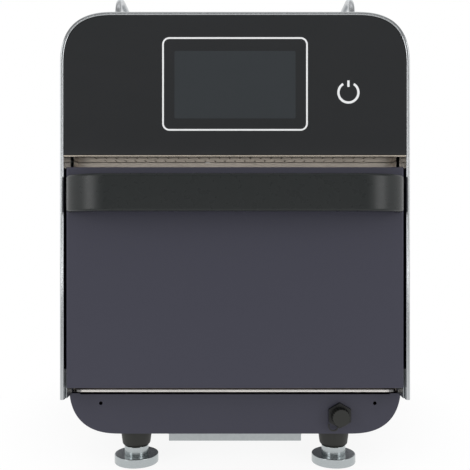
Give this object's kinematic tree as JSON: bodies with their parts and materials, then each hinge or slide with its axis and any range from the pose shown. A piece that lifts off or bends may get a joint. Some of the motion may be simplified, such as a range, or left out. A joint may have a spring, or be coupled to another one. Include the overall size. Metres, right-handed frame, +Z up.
{
  "type": "speed oven",
  "caption": "Countertop speed oven with drop-down door, touch fascia, slotted vent panel, levelling feet and a sliding air filter tray.",
  "frame": {"origin": "middle of the oven's floor plan, on the surface it stands on", "axes": "+X to the oven's right seen from the front, +Y to its back, +Z up"},
  "size_m": [0.39, 0.701, 0.562],
  "materials": {
    "shell_steel": "brushed stainless, horizontal grain",
    "inner_steel": "plain stainless sheet",
    "dark_paint": "fine matt powder coat, dark blue-grey",
    "fascia_glass": "back-painted black glass",
    "black_plastic": "satin black moulding",
    "matte_black": "matt black moulding",
    "zinc_steel": "zinc-plated sheet",
    "chrome_steel": "polished",
    "wool": "mineral wool board",
    "seal": "silicone",
    "board": "circuit board",
    "ceramic_plate": "fired, matt",
    "windings": "varnished windings on a laminated core",
    "aluminium": "cast and pressed"
  },
  "bodies": {
    "chassis": {"outer_shell": "shell_steel", "base_pan": "dark_paint", "rear_panel": "shell_steel", "cable_gland": "matte_black", "vent_panel": "inner_steel", "control_fascia": "fascia_glass", "fascia_carrier": "zinc_steel", "display_module": "matte_black", "control_board": "board", "face_frame": "inner_steel", "door_surround": "inner_steel", "hinge_bracket_left": "zinc_steel", "hinge_bracket_right": "zinc_steel", "interlock_switches": "matte_black", "cavity_box": "inner_steel", "cavity_insulation": "wool", "jet_plate": "inner_steel", "hot_air_duct": "zinc_steel", "fan_housing": "zinc_steel", "fan_baffle": "inner_steel", "heater_coil": "inner_steel", "fan_motor": "aluminium", "wire_rack": "chrome_steel", "ceramic_floor": "ceramic_plate", "waveguide": "zinc_steel", "stirrer_motor": "aluminium", "magnetron": "aluminium", "hv_transformer": "windings", "hv_capacitor": "aluminium", "cavity_cradle": "zinc_steel", "component_shelf": "zinc_steel", "power_board": "board", "cooling_fan_frame": "matte_black", "port_socket": "matte_black", "foot_cup_front_left": "matte_black", "foot_cup_front_right": "matte_black", "foot_cup_rear_left": "matte_black", "foot_cup_rear_right": "matte_black", "rail_left": "chrome_steel", "rail_right": "chrome_steel"},
    "door": {"door_skin": "dark_paint", "door_inner_panel": "inner_steel", "door_insulation": "wool", "door_gasket": "seal", "hinge_leaf_left": "zinc_steel", "hinge_leaf_right": "zinc_steel", "door_spring_left": "zinc_steel", "door_spring_right": "zinc_steel", "handle": "black_plastic"},
    "air_filter": {"filter_tray": "inner_steel", "filter_mesh": "zinc_steel"},
    "hot_air_fan": {"convection_fan": "inner_steel"},
    "cooling_rotor": {"cooling_fan_rotor": "matte_black"},
    "stirrer": {"mode_stirrer": "aluminium"},
    "tether": {"port_tether": "matte_black"},
    "cap": {"port_cap": "matte_black"},
    "front_left_foot": {"foot_front_left": "zinc_steel"},
    "front_right_foot": {"foot_front_right": "zinc_steel"},
    "rear_left_foot": {"foot_rear_left": "zinc_steel"},
    "rear_right_foot": {"foot_rear_right": "zinc_steel"}
  },
  "joints": [
    {"name": "door_hinge", "type": "hinge", "parent": "chassis", "child": "door", "pos_m": [0, -0.2928, 0.112], "axis": [1, 0, 0], "range_deg": [0, 90], "stiffness_Nm_per_rad": 1.8},
    {"name": "filter_slide", "type": "slide", "parent": "chassis", "child": "air_filter", "axis": [0, -1, 0], "range_m": [0, 0.18]},
    {"name": "hot_air_fan_spin", "type": "hinge", "parent": "chassis", "child": "hot_air_fan", "pos_m": [0, 0.1172, 0.226], "axis": [0, 1, 0], "continuous": true},
    {"name": "cooling_fan_spin", "type": "hinge", "parent": "chassis", "child": "cooling_rotor", "pos_m": [-0.09, 0.3052, 0.436], "axis": [0, 1, 0], "continuous": true},
    {"name": "stirrer_spin", "type": "hinge", "parent": "chassis", "child": "stirrer", "pos_m": [0, -0.0908, 0.1], "axis": [0, 0, 1], "continuous": true},
    {"name": "port_tether_turn", "type": "hinge", "parent": "chassis", "child": "tether", "pos_m": [0.121, -0.2868, 0.063], "axis": [0, 1, 0], "continuous": true},
    {"name": "port_cap_pull", "type": "slide", "parent": "tether", "child": "cap", "axis": [0, -1, 0], "range_m": [0, 0.01]},
    {"name": "front_left_foot_level", "type": "slide", "parent": "chassis", "child": "front_left_foot", "axis": [0, 0, -1], "range_m": [0, 0.012]},
    {"name": "front_right_foot_level", "type": "slide", "parent": "chassis", "child": "front_right_foot", "axis": [0, 0, -1], "range_m": [0, 0.012]},
    {"name": "rear_left_foot_level", "type": "slide", "parent": "chassis", "child": "rear_left_foot", "axis": [0, 0, -1], "range_m": [0, 0.012]},
    {"name": "rear_right_foot_level", "type": "slide", "parent": "chassis", "child": "rear_right_foot", "axis": [0, 0, -1], "range_m": [0, 0.012]}
  ]
}
